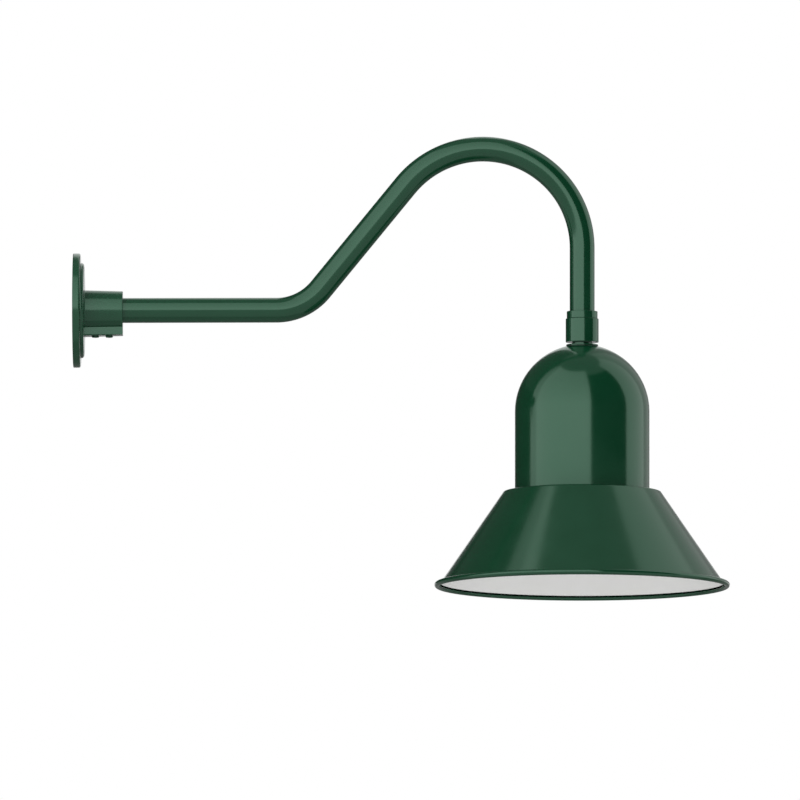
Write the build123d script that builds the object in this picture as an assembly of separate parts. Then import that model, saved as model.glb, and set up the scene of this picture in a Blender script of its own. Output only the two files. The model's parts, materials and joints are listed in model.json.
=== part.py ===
from build123d import *
from math import asin, atan2, cos, degrees, radians, sin, sqrt, tan
import os

# Gooseneck wall sconce: a cast wall canopy, a bent pipe arm, and a spun dome and reflector hung on a pipe
# coupling, with the lampholder inside the dome. Sizes are in millimetres.
# Frame: the origin is the centre of the canopy's wall face, on the hub's axis. +X points out of the wall,
# +Z is up, and the arm bends in the plane Y = 0.

# --- gaps shared by many pieces, all radial
THREAD_GAP = 0.05  # between a thread and its hole, both drawn plain
TURNING_GAP = 0.1  # between the arm and the hub that it turns in
FREE_GAP = 0.3  # round a bolt or pipe in a plain hole

# --- wall canopy: base, raised ring and hub in one casting, hollow behind the ring
CANOPY_DIAMETER = 122.0
RIM_THICKNESS = 7.9
RIM_FRONT_ROUND = 2.0
RIM_BACK_ROUND = 0.8
RING_DIAMETER = 101.6
RING_HEIGHT = 3.9
RING_ROUND = 2.9
CAST_WALL = 3.5
CAST_DRAFT = 1.6  # degrees, on the ring, the hub and the screw pad
CAST_ROOT = 1.2  # rounding in the deep inside corners of the casting
RING_ROOT = 0.8  # and where the ring stands on the base
HUB_LENGTH = 41.1
HUB_WALL = 7.1  # at the hub's tip, round the bore
HUB_TIP_ROUND = 0.8
ARM_SEAT_DEPTH = 36.9  # how far the arm goes into the hub
STOP_WEB = 3.5  # the ring that the arm's end stands against
PAD_WIDTH = 21.6  # flat pad under the hub, where it leaves the ring
PAD_STANDOFF = 6.0  # how far the pad stands below the hub's tip
PAD_ROUND = 1.6
RIB_COUNT = 6
RIB_THICKNESS = 2.4
RIB_HEIGHT = 2.5
WALL_HOLE_SPACING = 88.9  # the two holes for the wall box's screws, one above the other
WALL_HOLE_RADIUS = 2.6
POST_WALL = 3.0
GASKET_WIDTH = 6.0
GASKET_THICKNESS = 1.6
GASKET_SIDE_GAP = 0.2

# --- ground screw, in a boss behind the ring
GROUND_SCREW_RADIUS = 2.0
GROUND_SCREW_LENGTH = 5.5
GROUND_HEAD_RADIUS = 4.4
GROUND_HEAD_FLATS = 6.4
GROUND_HEAD_HEIGHT = 2.3
GROUND_WASHER = 0.8  # the head's own washer
GROUND_BOSS_HEIGHT = 3.8
GROUND_BOSS_RADIUS = 4.8
GROUND_FROM_CENTRE = 38.2
GROUND_ANGLE = 30.0  # degrees from +Y towards +Z, between two ribs

# --- set screws that clamp the arm, one behind the other in the pad
SET_SCREW_RADIUS = 3.97
SET_SCREW_LENGTH = 15.6
SET_SCREW_KEY = 4.0  # across the flats of the hexagon socket
SET_SCREW_KEY_DEPTH = 5.0
SET_SCREW_CHAMFER = 0.7
SET_SCREW_TIP_GAP = 0.1  # to the arm, when the screw is home
SET_SCREW_FROM_TIP = 14.5  # from the hub's tip to the front screw
SET_SCREW_SPACING = 14.8

# --- arm: one length of pipe with two bends
PIPE_DIAMETER = 26.67
PIPE_WALL = 2.87
ARM_REACH = 543.1  # from the wall to the axis of the hanging leg
FIRST_BEND_START = 216.9  # from the wall to where the level run starts to rise
ARM_ANGLE = 50.7  # degrees from level
LOWER_BEND_RADIUS = 60.8
TOP_BEND_RADIUS = 106.2
DROP_RUN = 90.9  # straight leg from the top bend down to the arm's end

# --- lock ring and reducing coupling on the arm's lower thread
ARM_THREAD = 15.0  # how far the arm is screwed into the coupling
LOCK_RING_WALL = 3.13
LOCK_RING_HEIGHT = 7.95
LOCK_RING_ROUND = 0.6
COUPLING_WALL = 4.28
COUPLING_LENGTH = 25.2
COUPLING_WEB = 2.0
COUPLING_ROUND = 0.5

# --- flanged nipple, and what is clamped on it through the dome's crown
NIPPLE_DIAMETER = 21.34
NIPPLE_WALL = 2.77
NIPPLE_TAIL = 5.0  # left below the locknut, for the bushing
NECK_GAP = 2.4  # nipple that shows between the coupling and the flange
FLANGE_REACH = 6.4
FLANGE_THICKNESS = 1.3
FLANGE_ROUND = 0.5
FLANGE_ROOT = 0.4
CROWN_GASKET = 0.6
CROWN_WASHER_REACH = 5.3
CROWN_WASHER = 2.0
LOCKNUT_FLATS = 27.0
LOCKNUT_HEIGHT = 4.5
BUSHING_WALL = 2.2
BUSHING_LIP = 2.0

# --- spun shade: dome and reflector, from one gauge of sheet
SHEET = 1.2
DOME_RADIUS = 71.9
DOME_NECK = 85.5  # straight wall from the dome's widest level down to the shoulder
DOME_FLANGE = 13.0  # turned in at the bottom of the neck, over the shoulder
SHEET_BEND = 1.6  # outside radius of a tight bend
SHOULDER_WIDTH = 11.9
SHOULDER_ROUND = 3.0
SKIRT_HEIGHT = 97.05
RIM_DIAMETER = 315.5
RIM_LIP = 4.25  # flat between the cone and the middle of the rolled bead
BEAD_RADIUS = 3.0
BEAD_TURN = 270.0  # degrees that the sheet is rolled through

# --- screws and nuts that hold the reflector's shoulder to the dome's flange
SHADE_SCREW_COUNT = 4
SHADE_SCREW_RADIUS = 2.0
SHADE_SCREW_TAIL = 1.2  # left above the nut
SCREW_HEAD_RADIUS = 3.9
SCREW_HEAD_HEIGHT = 2.4
SCREW_HEAD_ROUND = 1.5
SLOT_WIDTH = 1.1
SLOT_DEPTH = 1.2
SHADE_NUT_FLATS = 7.0
SHADE_NUT_HEIGHT = 3.2

# --- strap that hangs the lampholder from the crown
STRAP = 1.5
STRAP_WIDTH = 26.0
STRAP_SPAN = 38.0  # outside of the two legs
STRAP_DROP = 64.0  # top of the strap to the underside of its feet
STRAP_BEND = 3.0
FOOT_LENGTH = 13.0
FOOT_HOLE_FROM_LEG = 7.5

# --- lampholder: porcelain body, screw shell and sprung contact
PORCELAIN_RADIUS = 21.0
PORCELAIN_HEIGHT = 58.0
PORCELAIN_HEAD = 18.0  # the thicker part at the top, which carries the terminals
PORCELAIN_STEP = 1.8
PORCELAIN_ROUND = 1.5
BRACKET_SCREW_DEPTH = 9.0
LAMP_THREAD_RADIUS = 13.3  # inside of the screw shell, for a medium lamp cap
SHELL_SHEET = 0.5
SHELL_LENGTH = 25.0
SHELL_MOUTH_GAP = 3.5  # porcelain left beyond the shell at the mouth
SHELL_LEDGE = 5.0  # turned in at the shell's top, under the retainer
RETAINER = 1.5
CHAMBER_RADIUS = 6.0
CHAMBER_LENGTH = 16.0
CONTACT_NOSE_RADIUS = 3.4
CONTACT_NOSE_ROUND = 1.0
CONTACT_BUTTON_RADIUS = 5.0
CONTACT_BUTTON_HEIGHT = 1.2
CONTACT_STEM_RADIUS = 1.8
CONTACT_STEM_LENGTH = 6.0
CONTACT_STEM_ROUND = 0.5
SPRING_RADIUS = 3.2
SPRING_WIRE_RADIUS = 0.4
SPRING_TURNS = 7
RIVET_RADIUS = 1.5
RIVET_HEAD_RADIUS = 2.5
RIVET_GRIP = 5.0  # into the porcelain
TERMINAL_DROP = 9.0  # from the porcelain's top to the terminal screws
TERMINAL_POCKET_DEPTH = 4.0
TERMINAL_PLATE = 1.0
TERMINAL_PLATE_WIDTH = 11.0
TERMINAL_PLATE_HEIGHT = 10.0
TERMINAL_SCREW_RADIUS = 1.9
TERMINAL_SCREW_LENGTH = 6.5
TERMINAL_SIDE_GAP = 1.0

# ---------------------------------------------------------------- places that follow from the sizes
canopy_radius = CANOPY_DIAMETER / 2
ring_radius = RING_DIAMETER / 2
face_x = RIM_THICKNESS + RING_HEIGHT
hub_end = face_x + HUB_LENGTH
recess_depth = face_x - CAST_WALL
recess_radius = ring_radius - CAST_WALL
gasket_middle = (recess_radius + canopy_radius) / 2

pipe_radius = PIPE_DIAMETER / 2
pipe_bore = pipe_radius - PIPE_WALL
hub_bore = pipe_radius + TURNING_GAP
hub_tip_radius = hub_bore + HUB_WALL
arm_start = hub_end - ARM_SEAT_DEPTH
set_screw_tip = -(pipe_radius + SET_SCREW_TIP_GAP)

# The arm's route in its own plane, from the wall side to the lower end.
bend_rise = LOWER_BEND_RADIUS * (1 - cos(radians(ARM_ANGLE)))
bend_run = LOWER_BEND_RADIUS * sin(radians(ARM_ANGLE))
top_bend_run = TOP_BEND_RADIUS * (1 + sin(radians(ARM_ANGLE)))
climb = (ARM_REACH - top_bend_run - FIRST_BEND_START - bend_run) / cos(radians(ARM_ANGLE))
top_bend_level = bend_rise + climb * sin(radians(ARM_ANGLE)) - TOP_BEND_RADIUS * cos(radians(ARM_ANGLE))
arm_end = top_bend_level - DROP_RUN

# Levels down the drop axis.
coupling_top = arm_end + ARM_THREAD
coupling_bottom = coupling_top - COUPLING_LENGTH
nipple_top = arm_end - COUPLING_WEB
flange_top = coupling_bottom - NECK_GAP
flange_bottom = flange_top - FLANGE_THICKNESS
crown = flange_bottom - CROWN_GASKET
washer_top = crown - SHEET
strap_top = washer_top - CROWN_WASHER
locknut_top = strap_top - STRAP
locknut_bottom = locknut_top - LOCKNUT_HEIGHT
nipple_bottom = locknut_bottom - NIPPLE_TAIL

nipple_radius = NIPPLE_DIAMETER / 2
nipple_bore = nipple_radius - NIPPLE_WALL
flange_radius = nipple_radius + FLANGE_REACH
dome_centre = crown - sqrt(DOME_RADIUS**2 - flange_radius**2)
shoulder = dome_centre - DOME_NECK
throat_radius = DOME_RADIUS - DOME_FLANGE
cone_top_radius = DOME_RADIUS + SHOULDER_WIDTH
bead_middle = RIM_DIAMETER / 2 - BEAD_RADIUS
cone_bottom_radius = bead_middle - RIM_LIP
rim_top = shoulder - SKIRT_HEIGHT
shade_screw_circle = throat_radius + DOME_FLANGE / 2

porcelain_top = strap_top - STRAP_DROP
porcelain_mouth = porcelain_top - PORCELAIN_HEIGHT
shell_bottom = porcelain_mouth + SHELL_MOUTH_GAP
retainer_bottom = shell_bottom + SHELL_LENGTH
retainer_top = retainer_bottom + RETAINER
chamber_top = retainer_top + CHAMBER_LENGTH
shell_radius = LAMP_THREAD_RADIUS + SHELL_SHEET
shell_eye = LAMP_THREAD_RADIUS - SHELL_LEDGE
bracket_screw_x = STRAP_SPAN / 2 - FOOT_HOLE_FROM_LEG
rivet_y = (shell_eye + LAMP_THREAD_RADIUS) / 2
terminal_level = porcelain_top - TERMINAL_DROP
terminal_floor = PORCELAIN_RADIUS - TERMINAL_POCKET_DEPTH


# ---------------------------------------------------------------- ways of making
def profile(*corners):
    """A closed face from corners given as (x, y, rounding)."""
    points = [(x, y) for x, y, _ in corners]
    return make_face(FilletPolyline(*points, radius=[rounding for _, _, rounding in corners], close=True))


def turned_on_hub(face):
    """A face of (distance from the wall, radius) turned about the hub's axis."""
    return revolve(face, Axis.X)


def turned_on_drop(face):
    """A face of (radius, level) turned about the axis of the hanging leg."""
    return Pos(ARM_REACH, 0, 0) * revolve(Plane.XZ * face, Axis.Z)


def ring_on_drop(inner, outer, bottom, top, rounding=0.0):
    """A plain or softened ring about the drop axis."""
    return turned_on_drop(
        profile((inner, bottom, 0), (outer, bottom, rounding), (outer, top, rounding), (inner, top, 0))
    )


def sheet_section(outside, thickness):
    """The closed section of a bent sheet, from its outside line walked with the sheet on the right."""
    return make_face(offset(Wire(outside.edges()), thickness, side=Side.RIGHT, kind=Kind.INTERSECTION))


def post(radius, bottom, top, x=0.0, y=0.0):
    """An upright cylinder between two levels."""
    return Pos(x, y, (bottom + top) / 2) * Cylinder(radius, top - bottom)


def peg(radius, start, end, y, z):
    """A cylinder along X between two distances from the wall."""
    return Pos((start + end) / 2, y, z) * Rot(0, 90, 0) * Cylinder(radius, end - start)


def hexagon(flats, bottom, top):
    """An upright hexagonal prism between two levels."""
    return Pos(0, 0, bottom) * extrude(RegularPolygon(flats / 2, 6, major_radius=False), top - bottom)


def slotted(head, height):
    """A head standing on Z = 0 with a driver slot across its top."""
    return head - Pos(0, 0, height) * Box(4 * SCREW_HEAD_RADIUS, SLOT_WIDTH, 2 * SLOT_DEPTH)


def pan_head():
    """A slotted pan head standing on the plane Z = 0."""
    face = profile(
        (0, 0, 0),
        (SCREW_HEAD_RADIUS, 0, 0),
        (SCREW_HEAD_RADIUS, SCREW_HEAD_HEIGHT, SCREW_HEAD_ROUND),
        (0, SCREW_HEAD_HEIGHT, 0),
    )
    return slotted(revolve(Plane.XZ * face, Axis.Z), SCREW_HEAD_HEIGHT)


def drafted(length):
    """How far a cast wall leans in over that length."""
    return length * tan(radians(CAST_DRAFT))


# ---------------------------------------------------------------- canopy and what is fixed in it
def canopy_blank():
    """The casting's outside: base, raised ring, drafted hub and the flat pad under it."""
    body = turned_on_hub(
        profile(
            (0, 0, 0),
            (0, canopy_radius, RIM_BACK_ROUND),
            (RIM_THICKNESS, canopy_radius, RIM_FRONT_ROUND),
            (RIM_THICKNESS, ring_radius, min(RING_ROOT, RING_HEIGHT / 5)),
            (face_x, ring_radius - drafted(RING_HEIGHT), min(RING_ROUND, RING_HEIGHT * 3 / 4)),
            (face_x, hub_tip_radius + drafted(HUB_LENGTH), CAST_ROOT),
            (hub_end, hub_tip_radius, HUB_TIP_ROUND),
            (hub_end, 0, 0),
        )
    )
    pad_bottom = -(hub_tip_radius + PAD_STANDOFF + drafted(HUB_LENGTH))
    pad_section = profile(
        (-PAD_WIDTH / 2, 0, 0),
        (-PAD_WIDTH / 2, pad_bottom, PAD_ROUND),
        (PAD_WIDTH / 2, pad_bottom, PAD_ROUND),
        (PAD_WIDTH / 2, 0, 0),
    )
    pad = extrude(Plane.YZ.offset(face_x) * pad_section, HUB_LENGTH, taper=CAST_DRAFT)
    return body + pad


def canopy_hollow():
    """The air inside the casting: recess, wire way, and the bore that the arm stands in."""
    return turned_on_hub(
        profile(
            (0, 0, 0),
            (0, recess_radius, 0),
            (recess_depth, recess_radius, CAST_ROOT),
            (recess_depth, pipe_bore + CAST_WALL, CAST_ROOT),
            (arm_start - STOP_WEB, pipe_bore, 0),
            (arm_start, pipe_bore, 0),
            (arm_start, hub_bore, 0),
            (hub_end, hub_bore, 0),
            (hub_end, 0, 0),
        )
    )


def wall_canopy():
    """The canopy casting, with ribs, screw posts and a ground boss in its back."""
    body = canopy_blank() - canopy_hollow()
    rib_length = recess_radius - pipe_bore - CAST_WALL
    rib = Pos(recess_depth - RIB_HEIGHT / 2, recess_radius - rib_length / 2, 0) * Box(
        RIB_HEIGHT, rib_length, RIB_THICKNESS
    )
    for i in range(RIB_COUNT):
        body += Rot(i * 360 / RIB_COUNT, 0, 0) * rib
    for z in (-WALL_HOLE_SPACING / 2, WALL_HOLE_SPACING / 2):
        body += peg(WALL_HOLE_RADIUS + POST_WALL, 0, recess_depth, 0, z)
        body -= peg(WALL_HOLE_RADIUS, 0, face_x, 0, z)
    boss_y, boss_z = ground_place()
    boss_back = recess_depth - GROUND_BOSS_HEIGHT
    body += peg(GROUND_BOSS_RADIUS, boss_back, recess_depth, boss_y, boss_z)
    hole_end = boss_back + GROUND_SCREW_LENGTH
    body -= peg(GROUND_SCREW_RADIUS + THREAD_GAP, boss_back, hole_end, boss_y, boss_z)
    body -= gasket_ring(GASKET_WIDTH)
    for x in set_screw_places():
        body -= post(SET_SCREW_RADIUS + THREAD_GAP, -2 * hub_tip_radius, -pipe_radius / 2, x)
    return body


def ground_place():
    """Where the ground screw is, across and up."""
    angle = radians(GROUND_ANGLE)
    return GROUND_FROM_CENTRE * cos(angle), GROUND_FROM_CENTRE * sin(angle)


def set_screw_places():
    """How far the rear and the front set screw are from the wall."""
    front = hub_end - SET_SCREW_FROM_TIP
    return front - SET_SCREW_SPACING, front


def gasket_ring(width):
    """Flat ring of that width behind the rim, from the wall face in."""
    inner = gasket_middle - width / 2
    outer = gasket_middle + width / 2
    depth = GASKET_THICKNESS
    return turned_on_hub(profile((0, inner, 0), (0, outer, 0), (depth, outer, 0), (depth, inner, 0)))


def canopy_gasket():
    """Foam ring that fills the groove behind the rim, flush with the wall face."""
    return gasket_ring(GASKET_WIDTH - 2 * GASKET_SIDE_GAP)


def ground_screw():
    """Washer-head screw, driven from the back into its boss."""
    y, z = ground_place()
    seat = recess_depth - GROUND_BOSS_HEIGHT
    washer = post(GROUND_HEAD_RADIUS, 0, GROUND_WASHER)
    head = slotted(washer + hexagon(GROUND_HEAD_FLATS, 0, GROUND_HEAD_HEIGHT), GROUND_HEAD_HEIGHT)
    return Pos(seat, y, z) * Rot(0, -90, 0) * head + peg(
        GROUND_SCREW_RADIUS, seat, seat + GROUND_SCREW_LENGTH, y, z
    )


def set_screw(x):
    """Socket set screw standing up through the pad, its flat tip just under the arm."""
    bottom = set_screw_tip - SET_SCREW_LENGTH
    screw = revolve(
        Plane.XZ
        * make_face(
            Polyline(
                (0, bottom),
                (SET_SCREW_RADIUS - SET_SCREW_CHAMFER, bottom),
                (SET_SCREW_RADIUS, bottom + SET_SCREW_CHAMFER),
                (SET_SCREW_RADIUS, set_screw_tip - SET_SCREW_CHAMFER),
                (SET_SCREW_RADIUS - SET_SCREW_CHAMFER, set_screw_tip),
                (0, set_screw_tip),
                close=True,
            )
        ),
        Axis.Z,
    )
    return Pos(x, 0, 0) * (screw - hexagon(SET_SCREW_KEY, bottom, bottom + SET_SCREW_KEY_DEPTH))


# ---------------------------------------------------------------- arm and pipe fittings
def arm_route():
    """The arm's centre line: level run, lower bend, climb, top bend and drop, each tangent to the last."""
    level = Line((arm_start, 0), (FIRST_BEND_START, 0))
    lower_bend = JernArc(level @ 1, level % 1, LOWER_BEND_RADIUS, ARM_ANGLE)
    rise = Line(lower_bend @ 1, lower_bend @ 1 + climb * (lower_bend % 1))
    top_bend = JernArc(rise @ 1, rise % 1, TOP_BEND_RADIUS, -(ARM_ANGLE + 90))
    drop = Line(top_bend @ 1, top_bend @ 1 + DROP_RUN * (top_bend % 1))
    return Plane.XZ * Wire([run.edge() for run in (level, lower_bend, rise, top_bend, drop)])


def gooseneck_arm():
    """The bent pipe, hollow from end to end for the lamp's wires."""
    route = arm_route()
    section = Plane(route @ 0, z_dir=route % 0) * (Circle(pipe_radius) - Circle(pipe_bore))
    return sweep(section, route)


def lock_ring():
    """Round check ring, run down the arm's thread onto the coupling."""
    inner = pipe_radius + THREAD_GAP
    outer = pipe_radius + LOCK_RING_WALL
    return ring_on_drop(inner, outer, coupling_top, coupling_top + LOCK_RING_HEIGHT, LOCK_RING_ROUND)


def shade_coupling():
    """Reducing coupling: the arm stands on its web from above, the nipple from below."""
    arm_thread = pipe_radius + THREAD_GAP
    nipple_thread = nipple_radius + THREAD_GAP
    outer = pipe_radius + COUPLING_WALL
    return turned_on_drop(
        profile(
            (arm_thread, coupling_top, 0),
            (outer, coupling_top, COUPLING_ROUND),
            (outer, coupling_bottom, COUPLING_ROUND),
            (nipple_thread, coupling_bottom, 0),
            (nipple_thread, nipple_top, 0),
            (nipple_bore, nipple_top, 0),
            (nipple_bore, arm_end, 0),
            (arm_thread, arm_end, 0),
        )
    )


def flanged_nipple():
    """Short pipe with a round flange that bears on the dome, and threads above and below it."""
    return turned_on_drop(
        profile(
            (nipple_bore, nipple_top, 0),
            (nipple_radius, nipple_top, 0),
            (nipple_radius, flange_top, FLANGE_ROOT),
            (flange_radius, flange_top, FLANGE_ROUND),
            (flange_radius, flange_bottom, 0),
            (nipple_radius, flange_bottom, 0),
            (nipple_radius, nipple_bottom, 0),
            (nipple_bore, nipple_bottom, 0),
        )
    )


def crown_gasket():
    """Sealing ring between the nipple's flange and the dome."""
    return ring_on_drop(nipple_radius + FREE_GAP, flange_radius - FREE_GAP, crown, flange_bottom)


def crown_washer():
    """Large washer inside the dome, which spreads the clamp."""
    return ring_on_drop(nipple_radius + FREE_GAP, nipple_radius + CROWN_WASHER_REACH, strap_top, washer_top)


def locknut():
    """Hexagon nut that pulls the strap, washer, dome and gasket up against the nipple's flange."""
    nut = hexagon(LOCKNUT_FLATS, locknut_bottom, locknut_top)
    return Pos(ARM_REACH, 0, 0) * (nut - post(nipple_radius + THREAD_GAP, locknut_bottom, locknut_top))


def wire_bushing():
    """Plastic bushing screwed on the nipple's tail, with a lip that keeps the wires off its edge."""
    thread = nipple_radius + THREAD_GAP
    outer = thread + BUSHING_WALL
    bottom = nipple_bottom - BUSHING_LIP
    return turned_on_drop(
        profile(
            (thread, locknut_bottom - FREE_GAP, 0),
            (outer, locknut_bottom - FREE_GAP, 0),
            (outer, bottom, BUSHING_LIP / 2),
            (nipple_bore, bottom, BUSHING_LIP / 2),
            (nipple_bore, nipple_bottom, 0),
            (thread, nipple_bottom, 0),
        )
    )


# ---------------------------------------------------------------- spun shade
def dome_hood():
    """Spun dome with a flat crown, a straight neck and a flange turned in at the bottom."""
    crown_angle = degrees(asin((crown - dome_centre) / DOME_RADIUS))
    flat = Line((nipple_radius + FREE_GAP, crown), (flange_radius, crown))
    dome = CenterArc((0, dome_centre), DOME_RADIUS, crown_angle, -crown_angle)
    neck = FilletPolyline(
        (DOME_RADIUS, dome_centre), (DOME_RADIUS, shoulder), (throat_radius, shoulder), radius=SHEET_BEND
    )
    shell = turned_on_drop(sheet_section(flat + dome + neck, SHEET))
    return shell - shade_screw_holes()


def reflector_skirt():
    """Spun reflector: flat shoulder, cone, and a rim rolled outwards and under."""
    wall = FilletPolyline(
        (throat_radius, shoulder),
        (cone_top_radius, shoulder),
        (cone_bottom_radius, rim_top),
        (bead_middle, rim_top),
        radius=[SHOULDER_ROUND, SHEET_BEND],
    )
    bead = CenterArc((bead_middle, rim_top - BEAD_RADIUS), BEAD_RADIUS, 90, -BEAD_TURN)
    return turned_on_drop(sheet_section(wall + bead, SHEET)) - shade_screw_holes()


def shade_screw_places():
    """Places of the screws that join reflector and dome, evenly round the drop axis."""
    step = 360 / SHADE_SCREW_COUNT
    return [
        Pos(ARM_REACH, 0, shoulder) * Rot(0, 0, (i + 0.5) * step) * Pos(shade_screw_circle, 0, 0)
        for i in range(SHADE_SCREW_COUNT)
    ]


def shade_screw_holes():
    """Clear holes for those screws, through both sheets."""
    radius = SHADE_SCREW_RADIUS + FREE_GAP
    return [place * Cylinder(radius, 4 * SHEET) for place in shade_screw_places()]


def shade_screws():
    """Pan-head screws put in from below, heads under the shoulder."""
    top = SHEET + SHADE_NUT_HEIGHT + SHADE_SCREW_TAIL
    screw = Pos(0, 0, -SHEET) * Rot(180, 0, 0) * pan_head() + post(SHADE_SCREW_RADIUS, -SHEET, top)
    return Compound([place * screw for place in shade_screw_places()])


def shade_nuts():
    """Hexagon nuts on those screws, on top of the dome's flange."""
    nut = hexagon(SHADE_NUT_FLATS, SHEET, SHEET + SHADE_NUT_HEIGHT)
    nut -= post(SHADE_SCREW_RADIUS + THREAD_GAP, SHEET, SHEET + SHADE_NUT_HEIGHT)
    return Compound([place * nut for place in shade_screw_places()])


# ---------------------------------------------------------------- lampholder
def socket_bracket():
    """Bent steel strap: clamped by the locknut at the top, its two feet on the porcelain."""
    side = STRAP_SPAN / 2
    toe = side - FOOT_LENGTH
    outside = FilletPolyline(
        (-toe, porcelain_top),
        (-side, porcelain_top),
        (-side, strap_top),
        (side, strap_top),
        (side, porcelain_top),
        (toe, porcelain_top),
        radius=STRAP_BEND,
    )
    strap = extrude(Plane.XZ * sheet_section(outside, STRAP), STRAP_WIDTH / 2, both=True)
    strap -= post(nipple_radius + FREE_GAP, locknut_top, strap_top)
    for x in (-bracket_screw_x, bracket_screw_x):
        strap -= post(SHADE_SCREW_RADIUS + FREE_GAP, porcelain_top, porcelain_top + STRAP, x)
    return Pos(ARM_REACH, 0, 0) * strap


def bracket_screws():
    """Two pan-head screws through the strap's feet into the porcelain."""
    seat = porcelain_top + STRAP
    screw = Pos(0, 0, seat) * pan_head()
    screw += post(SHADE_SCREW_RADIUS, porcelain_top - BRACKET_SCREW_DEPTH, seat)
    return Compound([Pos(ARM_REACH + x, 0, 0) * screw for x in (-bracket_screw_x, bracket_screw_x)])


def porcelain_socket():
    """Glazed porcelain body with a stepped bore, two terminal pockets and blind holes for its fasteners."""
    barrel = PORCELAIN_RADIUS - PORCELAIN_STEP
    head_bottom = porcelain_top - PORCELAIN_HEAD
    body = revolve(
        Plane.XZ
        * profile(
            (0, chamber_top, 0),
            (0, porcelain_top, 0),
            (PORCELAIN_RADIUS, porcelain_top, PORCELAIN_ROUND),
            (PORCELAIN_RADIUS, head_bottom, PORCELAIN_ROUND / 2),
            (barrel, head_bottom - PORCELAIN_STEP, PORCELAIN_ROUND),
            (barrel, porcelain_mouth, PORCELAIN_ROUND),
            (shell_radius, porcelain_mouth, PORCELAIN_ROUND / 2),
            (shell_radius, retainer_top, 0),
            (CHAMBER_RADIUS, retainer_top, 0),
            (CHAMBER_RADIUS, chamber_top, 0),
        ),
        Axis.Z,
    )
    pocket_width = TERMINAL_PLATE_WIDTH + 2 * TERMINAL_SIDE_GAP
    pocket_height = TERMINAL_PLATE_HEIGHT + 2 * TERMINAL_SIDE_GAP
    pocket = Pos(0, terminal_floor + PORCELAIN_RADIUS, terminal_level) * Box(
        pocket_width, 2 * PORCELAIN_RADIUS, pocket_height
    )
    terminal_hole = terminal_place() * post(
        TERMINAL_SCREW_RADIUS + THREAD_GAP, TERMINAL_PLATE - TERMINAL_SCREW_LENGTH, TERMINAL_PLATE
    )
    for turn in (0, 180):
        body -= Rot(0, 0, turn) * (pocket + terminal_hole)
    for x in (-bracket_screw_x, bracket_screw_x):
        body -= post(SHADE_SCREW_RADIUS + THREAD_GAP, porcelain_top - BRACKET_SCREW_DEPTH, porcelain_top, x)
    for y in (-rivet_y, rivet_y):
        body -= post(RIVET_RADIUS + THREAD_GAP, retainer_top, retainer_top + RIVET_GRIP, 0, y)
    return Pos(ARM_REACH, 0, 0) * body


def contact_retainer():
    """Insulating disc that keeps the sprung contact in its chamber."""
    disc = post(shell_radius - FREE_GAP, retainer_bottom, retainer_top)
    disc -= post(CONTACT_NOSE_RADIUS + FREE_GAP, retainer_bottom, retainer_top)
    for y in (-rivet_y, rivet_y):
        disc -= post(RIVET_RADIUS + THREAD_GAP, retainer_bottom, retainer_top, 0, y)
    return Pos(ARM_REACH, 0, 0) * disc


def screw_shell():
    """Brass shell that takes the lamp's thread, with a ledge turned in under the retainer."""
    ledge_bottom = retainer_bottom - SHELL_SHEET
    shell = revolve(
        Plane.XZ
        * profile(
            (shell_eye, retainer_bottom, 0),
            (shell_radius, retainer_bottom, 0),
            (shell_radius, shell_bottom, 0),
            (LAMP_THREAD_RADIUS, shell_bottom, 0),
            (LAMP_THREAD_RADIUS, ledge_bottom, 0),
            (shell_eye, ledge_bottom, 0),
        ),
        Axis.Z,
    )
    for y in (-rivet_y, rivet_y):
        shell -= Pos(0, y, 0) * rivet_cone(THREAD_GAP)
    return Pos(ARM_REACH, 0, 0) * shell


def rivet_cone(gap=0.0):
    """The countersunk part of a shell rivet, as thick as the shell's ledge, with a gap round it."""
    low = retainer_bottom - SHELL_SHEET
    return Pos(0, 0, low + SHELL_SHEET / 2) * Cone(RIVET_HEAD_RADIUS + gap, RIVET_RADIUS + gap, SHELL_SHEET)


def shell_rivets():
    """Two countersunk rivets, flush under the shell's ledge, through the retainer into the porcelain."""
    rivet = rivet_cone() + post(RIVET_RADIUS, retainer_bottom, retainer_top + RIVET_GRIP)
    return Compound([Pos(ARM_REACH, y, 0) * rivet for y in (-rivet_y, rivet_y)])


def centre_contact():
    """Brass button: a nose through the retainer, a collar that rests on it and a stem up the spring."""
    nose_tip = retainer_bottom - SHELL_SHEET
    collar_top = retainer_top + CONTACT_BUTTON_HEIGHT
    stem_top = collar_top + CONTACT_STEM_LENGTH
    return turned_on_drop(
        profile(
            (0, nose_tip, 0),
            (CONTACT_NOSE_RADIUS, nose_tip, CONTACT_NOSE_ROUND),
            (CONTACT_NOSE_RADIUS, retainer_top, 0),
            (CONTACT_BUTTON_RADIUS, retainer_top, 0),
            (CONTACT_BUTTON_RADIUS, collar_top, 0),
            (CONTACT_STEM_RADIUS, collar_top, 0),
            (CONTACT_STEM_RADIUS, stem_top, CONTACT_STEM_ROUND),
            (0, stem_top, 0),
        )
    )


def contact_spring():
    """Compression spring between the contact's collar and the roof of its chamber."""
    low = retainer_top + CONTACT_BUTTON_HEIGHT + SPRING_WIRE_RADIUS
    high = chamber_top - SPRING_WIRE_RADIUS
    coil = Pos(0, 0, low) * Helix((high - low) / SPRING_TURNS, high - low, SPRING_RADIUS)
    wire = sweep(Plane(coil @ 0, z_dir=coil % 0) * Circle(SPRING_WIRE_RADIUS), coil, is_frenet=True)
    return Pos(ARM_REACH, 0, 0) * wire


def terminal_place():
    """The seat of a terminal, with its outward way as +Z, on the +Y side of the porcelain."""
    return Pos(0, terminal_floor, terminal_level) * Rot(-90, 0, 0)


def terminal_side(turn):
    """Carries a terminal from the +Y side at the drop axis to its own side of the lampholder."""
    return Pos(ARM_REACH, 0, 0) * Rot(0, 0, turn)


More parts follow.
